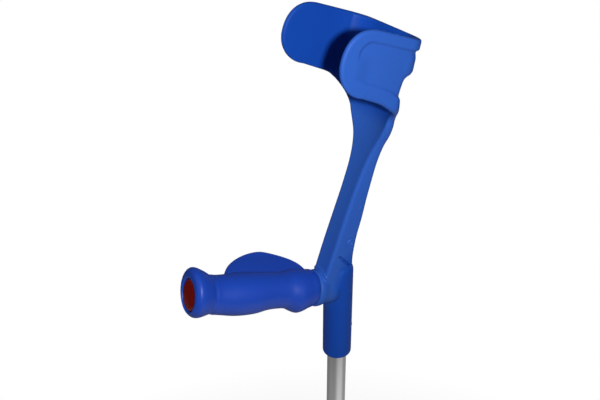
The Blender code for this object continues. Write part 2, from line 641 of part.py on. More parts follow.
def build_button_spring():
    """Bent strip of spring steel that pushes the button out."""
    strip, width, bend = SPRING_STRIP, SPRING_WIDTH, SPRING_BEND
    flange = BUTTON_FLANGE / 2
    front = (math.sqrt((LEG_ID / 2) ** 2 - flange ** 2) - 2 * SEAT_GAP - BUTTON_FLANGE_THICKNESS
             - strip / 2)
    rear = -math.sqrt((LEG_ID / 2) ** 2 - (width / 2) ** 2) + SEAT_GAP + strip / 2
    top, low = REST_HOLE_HEIGHT + SPRING_ABOVE, REST_HOLE_HEIGHT - SPRING_BELOW
    under_button = REST_HOLE_HEIGHT - BUTTON_DIAMETER
    line = [(front, top), (front, under_button), (0.5 * (rear + bend), low + 1.4 * bend)]
    line += [(rear + bend + x, low + z) for x, z in arc((0, 0), bend, -20, -180, 6)]
    line += [(rear, REST_HOLE_HEIGHT - 0.6 * BUTTON_DIAMETER)]
    rows = []
    for i, (x, z) in enumerate(line):
        before, after = Vector(line[max(i - 1, 0)]), Vector(line[min(i + 1, len(line) - 1)])
        run = (after - before).normalized()
        side = Vector((-run.y, run.x)) * strip / 2
        rows.append([(x + turn * side.x, y * width / 2, z + turn * side.y)
                     for turn, y in ((-1, -1), (-1, 1), (1, 1), (1, -1))])
    return mesh_object("button_spring", skinned(rows), parts,
                       material("spring_steel", (0.35, 0.35, 0.36), 0.3, 1.0))


def build_ferrule():
    """Rubber foot with a flared, grooved sole."""
    sole, neck = FERRULE_SOLE_DIAMETER / 2, FERRULE_NECK_DIAMETER / 2
    bore = LEG_OD / 2 + SEAT_GAP
    top, lip = FERRULE_HEIGHT, FERRULE_LIP
    profile = [(neck - 0.24 * lip, top), (neck + 0.08 * lip, top - 0.3 * lip), (neck + 0.08 * lip, top - lip),
               (neck - 0.08 * lip, top - 1.3 * lip)]
    profile += [(neck + out * MM, height * MM) for height, out in FERRULE_FLARE]
    profile += [(sole - back * MM, height * MM) for height, back in FERRULE_SKIRT]
    for outer, inner in TREAD_RINGS:
        profile += [(outer * MM, 0), (outer * MM, TREAD_DEPTH), (inner * MM, TREAD_DEPTH), (inner * MM, 0)]
    profile += [(0, 0), (0, FERRULE_FLOOR), (bore, FERRULE_FLOOR), (bore, top)]
    return turned("ferrule", profile, parts, material("grey_rubber", (0.03, 0.03, 0.032), 0.75),
                  closed=True, sides=40)


def build_washer():
    """Steel disc under the tube's end, which keeps it from cutting the rubber."""
    low = FERRULE_FLOOR + SEAT_GAP
    high = low + WASHER_THICKNESS
    radius, bore = (LEG_OD - SLIDE_GAP) / 2, WASHER_BORE / 2
    profile = [(radius, high), (radius, low), (bore, low), (bore, high)]
    return turned("ferrule_washer", profile, parts, material("washer_steel", (0.5, 0.5, 0.5), 0.4, 1.0),
                  closed=True)


clear_scene()
parts = new_collection("forearm_crutch")
tools = new_collection("cutters")
build_moulding()
build_grip()
build_reflector()
build_upper_tube()
build_rivet()
build_tube_collar()
build_leg_tube()
build_leg_top_bush()
build_button()
build_button_spring()
build_ferrule()
build_washer()
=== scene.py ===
"""Forearm crutch, dressed for its photograph.

The cuff, shaft, sleeve and handle core are one blue moulding, so they are drawn
flat, bent round the forearm and blended into one skin. The soft grip, the end
disc, the tubes and the ferrule follow as separate pieces.
"""

import math

import bmesh
import bpy
import numpy as np
from mathutils import Matrix, Vector


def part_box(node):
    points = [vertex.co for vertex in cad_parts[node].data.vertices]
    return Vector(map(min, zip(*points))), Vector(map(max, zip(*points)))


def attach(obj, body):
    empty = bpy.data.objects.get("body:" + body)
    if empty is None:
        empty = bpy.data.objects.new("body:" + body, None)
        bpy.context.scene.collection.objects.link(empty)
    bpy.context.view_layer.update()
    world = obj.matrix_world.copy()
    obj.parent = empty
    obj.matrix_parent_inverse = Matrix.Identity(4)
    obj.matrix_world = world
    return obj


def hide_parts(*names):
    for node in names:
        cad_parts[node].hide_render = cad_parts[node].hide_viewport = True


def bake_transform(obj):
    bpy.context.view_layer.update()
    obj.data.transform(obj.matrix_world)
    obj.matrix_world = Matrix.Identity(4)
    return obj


MM = 0.001

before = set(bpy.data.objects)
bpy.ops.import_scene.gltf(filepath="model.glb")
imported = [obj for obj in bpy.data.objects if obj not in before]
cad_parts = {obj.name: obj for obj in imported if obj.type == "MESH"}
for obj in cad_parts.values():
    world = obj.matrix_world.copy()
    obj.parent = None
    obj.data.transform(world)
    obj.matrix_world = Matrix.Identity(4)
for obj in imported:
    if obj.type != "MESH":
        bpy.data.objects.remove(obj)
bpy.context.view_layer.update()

# Camera, solved from the photograph: turned right, looking down, rolled a little
CAMERA_TURN = math.radians(27.1)
CAMERA_DIP = math.radians(28.75)
CAMERA_ROLL = math.radians(-0.43)
CAMERA_PLACE = Vector((-0.3279, -0.5581, 1.3289))
CAMERA_LENS = 46.75

# Handle, sleeve, tubes and button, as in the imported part
HANDLE_HEIGHT = 875.0 * MM
HANDLE_TILT = math.radians(14.8)
SLEEVE_BOTTOM = 792.5 * MM
SLEEVE_RADIUS = 14.9 * MM
SLEEVE_LENGTH = 114.0 * MM
SLEEVE_DOME = 10.0 * MM
SLEEVE_EDGE = 3.5 * MM
TUBE_RADIUS = 10.0 * MM
UPPER_TUBE_TOP = 888.5 * MM
UPPER_TUBE_BOTTOM = 240.5 * MM
TUBE_WALL = 1.2 * MM
LEG_RADIUS = 8.5 * MM
LEG_BOTTOM = 12.4 * MM
LEG_TOP = 452.4 * MM
HOLE_RADIUS = 3.8 * MM
LOWEST_HOLE = 282.5 * MM
HOLE_PITCH = 25.0 * MM
HOLE_COUNT = 7
BUTTON_HEIGHT = 357.5 * MM
RIVET_HEIGHT = SLEEVE_BOTTOM + 32 * MM

# Collar that the grip butts against, and the stub behind it, along the handle
COLLAR_END = 31.0 * MM
COLLAR_RADIUS = 18.4 * MM
STUB_RADIUS = 15.6 * MM

# Cuff and shaft. They are drawn as a flat blank and bent round the forearm: "along" runs from the
# middle of the back round to the arms, and height runs up the forearm from the cuff's middle
CUFF_LEAN = math.radians(17.2)
CUFF_MIDDLE = Vector((18.6 * MM, 0, 1114.4 * MM))
CUFF_YAW = math.radians(4.5)
HALF_WIDTH = 43.0 * MM
BAND_HEIGHT = 57.0 * MM
BAND_MIDDLE = 1.3 * MM
SHAFT_END = -232.0 * MM
QUARTER = 50.0 * MM      # along the blank, from the middle of the back to the start of an arm
ARM_START = 10.5 * MM    # the same place, behind the cuff's middle
ARM_LENGTH = 66.4 * MM
TOP_RISE = 0.042         # slope of the top edge, from BACK_ALONG out to the arm's end
BACK_ALONG = 45.0 * MM
END_FULLNESS = 2.3       # shape of an arm's upper end: 2 is a circle, and more is squarer
BACK_CORNER = 12.0 * MM
INNER_CORNER = 28.0 * MM
CORNER_FILL = 2.4 * MM   # swelling on the inside of the lower corners
BULGE = 3.4 * MM         # swelling on the outside of the upper corners
RIM_WIDTH = 9.0 * MM
RIM_PROUD = 1.8 * MM
RECESS_CORNER = 13.0     # millimetres, as is the next one
RECESS_FRONT = 4.4

# Heights on the forearm axis in millimetres, each with a size in millimetres. The first is how far
# the inner face of the back lies behind the axis, and roundness is the power of the back's corners
BACK_FACE = ((29, 22.3), (0, 25.5), (-32, 29.3), (-60, 32.2), (-100, 30.4), (-150, 28.2),
             (-228, 26.2))
HALF_WIDTHS = ((-43, 34.5), (-51, 30.0), (-64, 24.5), (-76, 19.2), (-88, 16.0), (-102, 13.8),
               (-122, 12.8), (-150, 12.7), (-190, 13.2), (-232, 12.8))
THICKNESSES = ((-22, 5.1), (-34, 6.4), (-46, 9.0), (-64, 10.6), (-76, 10.4), (-90, 11.5),
               (-107, 13.9), (-120, 15.6), (-150, 19.3), (-184, 21.9), (-198, 25.3),
               (-215, 31.4), (-232, 33.6))
INNER_EDGES = ((-20, 1.9), (-34, 1.5), (-48, 1.4), (-62, 1.9), (-110, 3.0), (-232, 3.6))
OUTER_EDGES = ((-20, 1.9), (-34, 4.4), (-48, 6.2), (-62, 6.4), (-80, 5.2), (-110, 3.4), (-232, 3.6))
OUTER_REACH = ((-20, 1.9), (-30, 3.6), (-38, 8.0), (-48, 9.0), (-62, 7.0), (-80, 4.6), (-110, 3.4),
               (-232, 3.6))
ROUNDNESS = ((-2, 2.0), (-12, 1.65), (-26, 1.6), (-36, 1.8), (-60, 1.9), (-90, 2.0))

# Places along the blank with their heights, in millimetres: the cuff's lower edge on each side,
# from the shaft out to the arm, and the lower edge of the sunk face
FAR_LOW_EDGE = ((28.2, -54.0), (31.4, -49.2), (35.2, -44.9), (38.8, -41.6), (42.6, -38.5),
                (46.4, -35.5), (50.4, -32.7), (55.6, -30.2), (62.0, -28.8), (70.0, -27.7),
                (78.0, -26.6), (86.0, -25.5))
NEAR_LOW_EDGE = ((28.4, -54.0), (29.2, -50.4), (31.2, -46.8), (34.8, -43.6), (39.6, -40.9),
                 (45.0, -38.4), (50.6, -35.9), (56.2, -33.6), (62.0, -31.6), (70.0, -29.9),
                 (78.0, -28.8), (86.0, -27.8))
RECESS_LOW_EDGE = ((0, -44), (12, -43), (22, -39), (31, -34), (40, -28.5), (47, -24.5),
                   (56, -20.2), (67, -17.7), (92, -15.0))

# Marks moulded on the joint's sides: place along X and height over the sleeve's end, in millimetres
GROOVE_REAR = (7.6, 110.4)
GROOVE_FRONT = (-6.8, 126.9)
RING_MIDDLE = (5.4, 139.6)
DOT_MIDDLE = (16.2, 174.7)
BEAD_RADIUS = 20.5 * MM

# Grip: place along the handle, radius, and how far its middle lies above the axis
GRIP = ((0.0, 17.4, 0.4), (3.5, 18.6, 0.2), (8.0, 19.4, -0.6), (13.5, 20.8, -1.6),
        (19.0, 21.4, -2.2), (25.0, 20.0, -1.4), (31.0, 18.1, -0.5), (41.0, 17.6, -0.3),
        (52.0, 18.2, -0.5), (63.0, 19.6, -1.5), (75.0, 20.1, -2.0), (87.0, 19.8, -2.1),
        (97.0, 18.9, -1.7), (105.0, 18.4, -1.1), (108.6, 18.5, -0.6), (110.4, 18.0, -0.3),
        (112.2, 18.8, 0.3), (119.5, 21.7, 1.6), (124.0, 23.0, 2.3), (128.0, 22.4, 3.0),
        (130.5, 19.9, 2.9))
GRIP_START = 31.3 * MM
GRIP_END = 162.5 * MM
LIP_RADIUS = 17.4 * MM
LIP_RISE = 1.8 * MM
POCKET_RADIUS = 15.2 * MM
POCKET_FLOOR = GRIP_END - 6.0 * MM
DISC_RADIUS = 14.9 * MM
DISC_FACE = POCKET_FLOOR + 4.8 * MM

# Palm rest: place along the grip, and its reach as a share of the full reach
WING_REACH = 42.0 * MM
WING_MIDDLE = 48.0
WING_EDGE = 2.2
WING_THICKNESS = (11.4 * MM, 4.8 * MM)
WING = ((1.5, 0.37), (4.0, 0.57), (11.0, 0.72), (20.0, 0.83), (32.0, 0.93), (41.5, 0.99),
        (50.0, 0.98), (62.5, 0.91), (74.0, 0.79), (84.0, 0.62), (91.0, 0.38), (93.0, 0.16))
WING_ROOT_RISE = 12.0 * MM
WING_EDGE_RISE = 21.5 * MM

HANDLE = (Matrix.Translation((0, 0, HANDLE_HEIGHT))
          @ Matrix.Rotation(HANDLE_TILT - math.pi / 2, 4, 'Y'))
FOREARM = Matrix.Translation(CUFF_MIDDLE) @ Matrix.Rotation(CUFF_LEAN, 4, 'Y')

# Light: strength of the world, how bright the studio and the floor's painted glow look in
# reflections, and the direction of the glow's bright side
AMBIENT = 0.035
DIM_STUDIO = 0.10
FLOOR_SIDE = 0.42
BACK_SIDE = 0.6
BRIGHT_SIDE = math.radians(143)
NEAR_GLOW = 0.62

# Mesh size of the moulding and of the grip
VOXEL = 0.75 * MM
GRIP_VOXEL = 0.62 * MM


def place_camera():
    """Camera of the photograph."""
    sideways = Vector((math.cos(CAMERA_TURN), -math.sin(CAMERA_TURN), 0))
    ahead = Vector((math.sin(CAMERA_TURN) * math.cos(CAMERA_DIP),
                    math.cos(CAMERA_TURN) * math.cos(CAMERA_DIP), -math.sin(CAMERA_DIP)))
    upright = sideways.cross(ahead)
    right = math.cos(CAMERA_ROLL) * sideways + math.sin(CAMERA_ROLL) * upright
    up = math.cos(CAMERA_ROLL) * upright - math.sin(CAMERA_ROLL) * sideways
    bpy.ops.object.camera_add()
    camera = bpy.context.object
    camera.name = "photograph_camera"
    pose = Matrix((right, up, -ahead)).transposed().to_4x4()
    pose.translation = CAMERA_PLACE
    camera.matrix_world = pose
    camera.data.lens = CAMERA_LENS
    camera.data.sensor_width = 36.0
    camera.data.clip_start = 0.01
    bpy.context.scene.camera = camera


def linear(hex_colour):
    """An sRGB hex colour as linear red, green, blue and alpha."""
    channels = [int(hex_colour[i:i + 2], 16) / 255 for i in (1, 3, 5)]
    return tuple(c / 12.92 if c <= 0.04045 else ((c + 0.055) / 1.055) ** 2.4
                 for c in channels) + (1.0,)


def add_node(material, kind, settings=None, links=None):
    """Add a node, set its values and inputs, and link its inputs."""
    node = material.node_tree.nodes.new(kind)
    for name, value in (settings or {}).items():
        if name in node.inputs:
            node.inputs[name].default_value = value
        else:
            setattr(node, name, value)
    for name, source in (links or {}).items():
        material.node_tree.links.new(source, node.inputs[name])
    return node


def new_material(name):
    """A material with its Principled shader and the object's own coordinates."""
    material = bpy.data.materials.new(name)
    material.use_nodes = True
    shader = material.node_tree.nodes["Principled BSDF"]
    coordinates = add_node(material, "ShaderNodeTexCoord").outputs["Object"]
    return material, shader, coordinates


def connect(material, source, socket):
    """Link an output socket to an input socket."""
    material.node_tree.links.new(source, socket)


def blue_plastic(name, colour, painted_sheen_colour, roughness, gloss_level, grain_mm, grain_depth_mm):
    """Moulded blue plastic with a soft sheen: polished faces are deep blue, satin ones paler.

    The satin faces' paler blue is a painted sheen. Faint flow marks run through it, and its
    "satin" attribute says how satin a face is, and so how much painted sheen it gets.
    """
    material, shader, place = new_material(name)
    flow = add_node(material, "ShaderNodeTexNoise",
                    {"Scale": 1 / (45 * MM), "Detail": 3.0, "Roughness": 0.5}, {"Vector": place})
    # Painted sheen: the satin share mixes the paler colour into the base colour
    sheen_share = add_node(material, "ShaderNodeAttribute", {"attribute_name": "satin"})
    tint = add_node(material, "ShaderNodeMixRGB",
                    {"Color1": linear(colour), "Color2": linear(painted_sheen_colour)},
                    {"Fac": sheen_share.outputs["Fac"]})
    marks = add_node(material, "ShaderNodeMapRange", {"To Min": 1.05, "To Max": 0.95},
                     {"Value": flow.outputs["Fac"]})
    marked = add_node(material, "ShaderNodeVectorMath", {"operation": 'SCALE'},
                      {"Scale": marks.outputs["Result"]})
    connect(material, tint.outputs["Color"], marked.inputs[0])
    connect(material, marked.outputs["Vector"], shader.inputs["Base Color"])
    # Spark-eroded grain is about 0.1 mm wide, so it is drawn some ten times coarser to show
    grain = add_node(material, "ShaderNodeTexNoise",
                     {"Scale": 1 / (grain_mm * MM), "Detail": 2.0}, {"Vector": place})
    gloss = add_node(material, "ShaderNodeMapRange",
                     {"To Min": roughness - 0.04, "To Max": roughness + 0.05},
                     {"Value": flow.outputs["Fac"]})
    connect(material, gloss.outputs["Result"], shader.inputs["Roughness"])
    relief = add_node(material, "ShaderNodeBump",
                      {"Strength": 0.35, "Distance": grain_depth_mm * MM},
                      {"Height": grain.outputs["Fac"]})
    connect(material, relief.outputs["Normal"], shader.inputs["Normal"])
    shader.inputs["IOR"].default_value = 1.49
    shader.inputs["Specular IOR Level"].default_value = gloss_level
    return material


def drawn_metal(name, colour, roughness):
    """Drawn metal under a clear anodised or polished skin, with fine lines along it."""
    material, shader, place = new_material(name)
    shader.inputs["Base Color"].default_value = linear(colour)
    shader.inputs["Metallic"].default_value = 1.0
    # The die leaves lines a few hundredths of a millimetre wide, drawn ten times wider to show
    stretched = add_node(material, "ShaderNodeVectorMath", {"operation": 'MULTIPLY'})
    connect(material, place, stretched.inputs[0])
    stretched.inputs[1].default_value = (1 / (0.35 * MM), 1 / (0.35 * MM), 1 / (60 * MM))
    lines = add_node(material, "ShaderNodeTexNoise", {"Scale": 1.0, "Detail": 2.0},
                     {"Vector": stretched.outputs["Vector"]})
    gloss = add_node(material, "ShaderNodeMapRange",
                     {"To Min": roughness - 0.06, "To Max": roughness + 0.08},
                     {"Value": lines.outputs["Fac"]})
    connect(material, gloss.outputs["Result"], shader.inputs["Roughness"])
    relief = add_node(material, "ShaderNodeBump", {"Strength": 0.25, "Distance": 0.01 * MM},
                      {"Height": lines.outputs["Fac"]})
    connect(material, relief.outputs["Normal"], shader.inputs["Normal"])
    return material


def matt_plastic(name, colour, roughness, grain_mm):
    """Matt rubber or plastic with a fine moulded grain and slightly uneven gloss."""
    material, shader, place = new_material(name)
    cloud = add_node(material, "ShaderNodeTexNoise", {"Scale": 1 / (12 * MM), "Detail": 4.0},
                     {"Vector": place})
    base = linear(colour)
    pale = tuple(min(1.0, c * 1.25 + 0.004) for c in base[:3]) + (1.0,)
    tint = add_node(material, "ShaderNodeMixRGB", {"Color1": base, "Color2": pale},
                    {"Fac": cloud.outputs["Fac"]})
    connect(material, tint.outputs["Color"], shader.inputs["Base Color"])
    gloss = add_node(material, "ShaderNodeMapRange",
                     {"To Min": roughness - 0.08, "To Max": roughness + 0.08},
                     {"Value": cloud.outputs["Fac"]})
    connect(material, gloss.outputs["Result"], shader.inputs["Roughness"])
    # The mould's grain is about 0.1 mm wide, and is drawn coarser to show
    grain = add_node(material, "ShaderNodeTexNoise", {"Scale": 1 / (grain_mm * MM), "Detail": 3.0},
                     {"Vector": place})
    relief = add_node(material, "ShaderNodeBump", {"Strength": 0.4, "Distance": 0.06 * MM},
                      {"Height": grain.outputs["Fac"]})
    connect(material, relief.outputs["Normal"], shader.inputs["Normal"])
    return material


def reflector_red():
    """Dark red acrylic with a smooth, polished face over moulded prisms 2.2 mm across."""
    material, shader, place = new_material("red_reflector_acrylic")
    cells = add_node(material, "ShaderNodeTexVoronoi", {"Scale": 1 / (2.2 * MM)},
                     {"Vector": place})
    tint = add_node(material, "ShaderNodeMixRGB",
                    {"Color1": linear("#98140a"), "Color2": linear("#700f08")},
                    {"Fac": cells.outputs["Distance"]})
    connect(material, tint.outputs["Color"], shader.inputs["Base Color"])
    relief = add_node(material, "ShaderNodeBump", {"Strength": 0.3, "Distance": 0.05 * MM},
                      {"Height": cells.outputs["Distance"]})
    connect(material, relief.outputs["Normal"], shader.inputs["Normal"])
    shader.inputs["Roughness"].default_value = 0.07
    shader.inputs["Specular IOR Level"].default_value = 0.14
    return material


def smooth_curve(stations, places):
    """Sizes in metres at places, read from the smooth curve through the stations."""
    xs, ys = np.array(sorted(stations), float).T
    x = np.clip(np.asarray(places, float) / MM, xs[0], xs[-1])
    slopes = np.gradient(ys, xs)
    i = np.clip(np.searchsorted(xs, x) - 1, 0, len(xs) - 2)
    span = xs[i + 1] - xs[i]
    t = (x - xs[i]) / span
    return MM * ((1 + 2 * t) * (1 - t) ** 2 * ys[i] + t * (1 - t) ** 2 * span * slopes[i]
                 + t * t * (3 - 2 * t) * ys[i + 1] + t * t * (t - 1) * span * slopes[i + 1])


def ease(low, high, value):
    """0 up to low, 1 from high on, and a smooth step between them."""
    t = np.clip((value - low) / (high - low), 0.0, 1.0)
    return t * t * (3 - 2 * t)


def cuff_plan(along, height, back_corner):
    """Inner face of the cuff in plan: its place and outward direction, by height.

    Below the band the corners open out, until the back is one curve.
    """
    back = smooth_curve(BACK_FACE, height)
    reach = back - ARM_START
    power = (smooth_curve(ROUNDNESS, height) / MM)[:, None]
    corner = back_corner + (HALF_WIDTH - back_corner) * ease(3 * MM, 9 * MM, -height)
    flat = HALF_WIDTH - corner
    angles = np.linspace(0, math.pi / 2, 61)
    us = ARM_START + reach[:, None] * np.cos(angles) ** (2 / power)
    ys = flat[:, None] + corner[:, None] * np.sin(angles) ** (2 / power)
    us = np.hstack((back[:, None], us))
    ys = np.hstack((np.zeros((len(back), 1)), ys))
    run = np.cumsum(np.hypot(np.diff(us), np.diff(ys)), axis=1)
    run = np.hstack((np.zeros((len(back), 1)), run))
    place = np.clip(along / QUARTER, 0, 1) * run[:, -1]
    row = np.arange(len(back))
    after = np.clip((run < place[:, None]).sum(axis=1), 1, run.shape[1] - 1)
    share = (place - run[row, after - 1]) / (run[row, after] - run[row, after - 1])
    u = us[row, after - 1] + share * (us[row, after] - us[row, after - 1])
    y = ys[row, after - 1] + share * (ys[row, after] - ys[row, after - 1])
    bend = power[:, 0] - 1
    normal_u = np.clip((u - ARM_START) / reach, 0, 1) ** bend / reach
    normal_y = np.clip((y - flat) / corner, 0, 1) ** bend / corner
    normal_y = normal_y * (1 - ease(90 * MM, 140 * MM, -height))
    on_arm = along >= QUARTER
    u = np.where(on_arm, ARM_START - (along - QUARTER), u)
    y = np.where(on_arm, HALF_WIDTH, y)
    normal_u = np.where(on_arm, 0.0, normal_u)
    normal_y = np.where(on_arm, 1.0, normal_y)
    size = np.hypot(normal_u, normal_y)
    return u, y, normal_u / size, normal_y / size


def wrap_cuff(points):
    """Bend points of the flat blank (along, depth, height) round the forearm."""
    along, depth, height = points.T
    side = np.where(along < 0, -1.0, 1.0)
    u, y, normal_u, normal_y = cuff_plan(np.abs(along), height, BACK_CORNER)
    bulge = ease(-18 * MM, -10 * MM, -height) - ease(-1 * MM, 5 * MM, -height)
    thickness = smooth_curve(THICKNESSES, height)
    swell = BULGE * 2 * normal_u * normal_y * bulge * np.clip(depth / thickness, 0, 1)
    u = u + normal_u * (depth + swell)
    y = y + normal_y * (depth + swell)
    inner_u, inner_y, turn_u, turn_y = cuff_plan(np.abs(along), height, INNER_CORNER)
    inside = 1 - ease(0.0, 1.0, depth / thickness)
    fill = CORNER_FILL * np.exp(-((np.abs(along) - 46 * MM) / (12 * MM)) ** 2)
    level = depth - fill * ease(-40 * MM, -22 * MM, height)
    u += inside * (inner_u + turn_u * level - u)
    y = side * (y + inside * (inner_y + turn_y * level - y))
    yaw = CUFF_YAW * ease(-100 * MM, -45 * MM, height)
    reach = u - ARM_START
    return np.column_stack((ARM_START + reach * np.cos(yaw) - y * np.sin(yaw),
                            y * np.cos(yaw) + reach * np.sin(yaw), height))


def cuff_edge(inset, sizes, low_edge):
    """Half outline of the flat blank, from the middle of the shaft's end to the top."""
    radius = BAND_HEIGHT / 2
    end_middle = QUARTER + ARM_LENGTH - radius
    edge = float(smooth_curve(sizes, 0)) * inset

    def top(along):
        return BAND_MIDDLE + radius - TOP_RISE * (end_middle - max(along, BACK_ALONG)) - edge

    heights = np.arange(SHAFT_END, -56 * MM, 3 * MM)
    steps = np.linspace(0, len(low_edge) - 1, 56) * MM
    reach, rise = (smooth_curve([(i, place[k]) for i, place in enumerate(low_edge)], steps)
                   for k in (0, 1))
    low = np.vstack((np.column_stack((smooth_curve(HALF_WIDTHS, heights), heights)),
                     np.column_stack((reach, rise))))
    ahead = np.gradient(low, axis=0)
    inward = np.column_stack((-ahead[:, 1], ahead[:, 0]))
    inward /= np.linalg.norm(inward, axis=1, keepdims=True)
    low += inward * (smooth_curve(sizes, low[:, 1]) * inset)[:, None]
    low = [(0.0, SHAFT_END)] + [tuple(point) for point in low]
    power = 2 / END_FULLNESS
    below = BAND_MIDDLE - low_edge[-1][1] * MM
    end = []
    for a in np.radians(np.linspace(-90, 90, 41)):
        across, up = math.cos(a), math.sin(a)
        high = radius if up > 0 else below
        bend = power if up > 0 else 1.0
        end.append((end_middle + (radius - edge) * across ** bend,
                    BAND_MIDDLE + (high - edge) * math.copysign(abs(up) ** bend, up)))
    return low + end + [(BACK_ALONG, top(BACK_ALONG)), (0.0, top(0))]


def whole_ring(inset, sizes, depth_of):
    """A closed ring of the flat blank: its far half, and its near half the other way round."""
    far, near = cuff_edge(inset, sizes, FAR_LOW_EDGE), cuff_edge(inset, sizes, NEAR_LOW_EDGE)
    outline = far + [(-x, z) for x, z in reversed(near[1:-1])]
    return [(x, depth_of(z), z) for x, z in outline]


def recess_depth(along, height):
    """How deep the outer face is sunk inside the cuff's rim.

    The sunk face has a crisp step round its upper half, and fades out round its lower half.
    Widths are in millimetres.
    """
    along = np.abs(along) / MM
    height = height / MM
    end_middle = (QUARTER + ARM_LENGTH) / MM - BAND_HEIGHT / MM / 2
    rise = TOP_RISE * (end_middle - np.clip(along, BACK_ALONG / MM, end_middle))
    top = BAND_MIDDLE / MM + BAND_HEIGHT / MM / 2 - RIM_WIDTH / MM - rise
    edge_x, edge_z = np.array(RECESS_LOW_EDGE, float).T
    bottom = np.interp(along, edge_x, edge_z)
    front = (QUARTER + ARM_LENGTH - RIM_WIDTH) / MM - RECESS_FRONT
    corner = RECESS_CORNER
    middle = (top + bottom) / 2
    half = np.maximum((top - bottom) / 2, 0.1)
    across = np.abs(height - middle)
    past = np.maximum(along - (front - corner), 0.0)
    over = np.maximum(across - (half - corner), 0.0)
    distance = np.where((past > 0) & (over > 0), corner - np.hypot(past, over),
                        np.minimum(front - along, half - across))
    high_part = ease(0.0, 2.0, distance)
    low_part = ease(0.0, 18.0, front - along) * ease(0.0, 2.6, height - bottom)
    upper = ease(1.0, 13.0, height)
    return RIM_PROUD * (upper * high_part + (1 - upper) * low_part)


def select_only(piece):
    """Make a piece the only selected one, and the active one."""
    bpy.ops.object.select_all(action='DESELECT')
    piece.select_set(True)
    bpy.context.view_layer.objects.active = piece


def lofted(name, rings):
    """A closed skin: a filled ring, extruded again and again onto the next ring."""
    bpy.ops.object.select_all(action='DESELECT')
    bpy.ops.mesh.primitive_circle_add(vertices=len(rings[0]), radius=1.0, fill_type='NGON')
    piece = bpy.context.object
    piece.name = name
    for vertex, point in zip(piece.data.vertices, rings[0]):
        vertex.co = point
    order = list(piece.data.polygons[0].vertices)
    bpy.ops.object.mode_set(mode='EDIT')
    bpy.ops.mesh.select_mode(type='FACE')
    bpy.ops.mesh.select_all(action='SELECT')
    for ring in rings[1:]:
        bpy.ops.mesh.extrude_region_move()
        mesh = bmesh.from_edit_mesh(piece.data)
        top = next(face for face in mesh.faces if face.select)
        for vertex, number in zip(top.verts, order):
            vertex.co = ring[number]
        bmesh.update_edit_mesh(piece.data)
    bpy.ops.mesh.select_all(action='SELECT')
    bpy.ops.mesh.normals_make_consistent(inside=False)
    bpy.ops.object.mode_set(mode='OBJECT')
    return piece


def put_in_place(piece, pose):
    """Write the piece's place into its mesh, so that the object stays at the origin."""
    piece.data.transform(pose)
    piece.data.update()
    return piece


def apply_modifier(piece, kind, **settings):
    """Add a modifier with its settings and apply it."""
    select_only(piece)
    change = piece.modifiers.new(kind.lower(), kind)
    for name, value in settings.items():
        setattr(change, name, value)
    bpy.ops.object.modifier_apply(modifier=change.name)


def blended(piece, voxel, smoothing):
    """Melt overlapping shapes into one skin with small moulded fillets."""
    apply_modifier(piece, 'REMESH', mode='VOXEL', voxel_size=voxel)
    apply_modifier(piece, 'SMOOTH', factor=0.5, iterations=smoothing)
    return piece


def joined(pieces, name):
    """Join pieces into one object, without melting them."""
    bpy.ops.object.select_all(action='DESELECT')
    for piece in pieces:
        piece.select_set(True)
    bpy.context.view_layer.objects.active = pieces[0]
    bpy.ops.object.join()
    whole = bpy.context.object
    whole.name = name
    return whole


def turned(name, profile, sides=96, closed=False):
    """A round piece from its outline of (radius, height) points, one ring a point."""
    turns = [2 * math.pi * i / sides for i in range(sides)]
    tiny = 0.02 * MM
    rings = [[(max(r, tiny) * math.cos(a), max(r, tiny) * math.sin(a), z) for a in turns]
             for r, z in profile + profile[:1] * closed]
    piece = lofted(name, rings)
    if closed:
        select_only(piece)
        bpy.ops.object.mode_set(mode='EDIT')
        bpy.ops.mesh.select_all(action='DESELECT')
        bpy.ops.mesh.select_face_by_sides(number=sides, type='EQUAL')
        bpy.ops.mesh.delete(type='FACE')
        bpy.ops.mesh.select_all(action='SELECT')
        bpy.ops.mesh.remove_doubles(threshold=0.01 * MM)
        bpy.ops.mesh.normals_make_consistent(inside=False)
        bpy.ops.object.mode_set(mode='OBJECT')
    return piece


def arc(centre, radius, first, last, steps):
    """Points of an arc round a centre, from its first angle to its last, in degrees."""
    turns = np.radians(np.linspace(first, last, steps + 1))
    return [(centre[0] + radius * math.cos(a), centre[1] + radius * math.sin(a)) for a in turns]


def mark_sheen_share(piece, share):
    """Write how satin each point of a moulded piece is: 0 is polished, 1 takes the full painted sheen.
    """
    sheen_share = piece.data.attributes.new("satin", 'FLOAT', 'POINT')
    sheen_share.data.foreach_set("value", np.asarray(share, np.float32))


def points_and_normals(piece, pose):
    """A piece's points and normals, seen in a pose's own axes."""
    count = len(piece.data.vertices)
    points = np.empty(count * 3)
    normals = np.empty(count * 3)
    piece.data.vertices.foreach_get("co", points)
    piece.data.vertices.foreach_get("normal", normals)
    turn = np.array(pose.inverted().to_3x3())
    shift = np.array(pose.translation)
    return (points.reshape(-1, 3) - shift) @ turn.T, normals.reshape(-1, 3) @ turn.T


def moulding_sheen_share(piece):
    """The cuff's inner face and the sleeve are polished, and all other faces satin, with painted
    sheen.
    """
    points, normals = points_and_normals(piece, FOREARM)
    out = points[:, :2] - (ARM_START, 0)
    out[:, 0] = np.maximum(out[:, 0], 0)
    out /= np.maximum(np.linalg.norm(out, axis=1, keepdims=True), 1 * MM)
    facing = (out * normals[:, :2]).sum(axis=1)
    inner = ease(0.1, 0.5, -facing) * ease(-62 * MM, -40 * MM, points[:, 2])
    points = points_and_normals(piece, Matrix())[0]
    sleeve = ease(-26 * MM, 14 * MM, SLEEVE_BOTTOM + SLEEVE_LENGTH - points[:, 2])
    points = points_and_normals(piece, HANDLE)[0]
    sleeve *= 1 - ease(6 * MM, 18 * MM, points[:, 2])
    return (1 - inner) * (1 - sleeve)


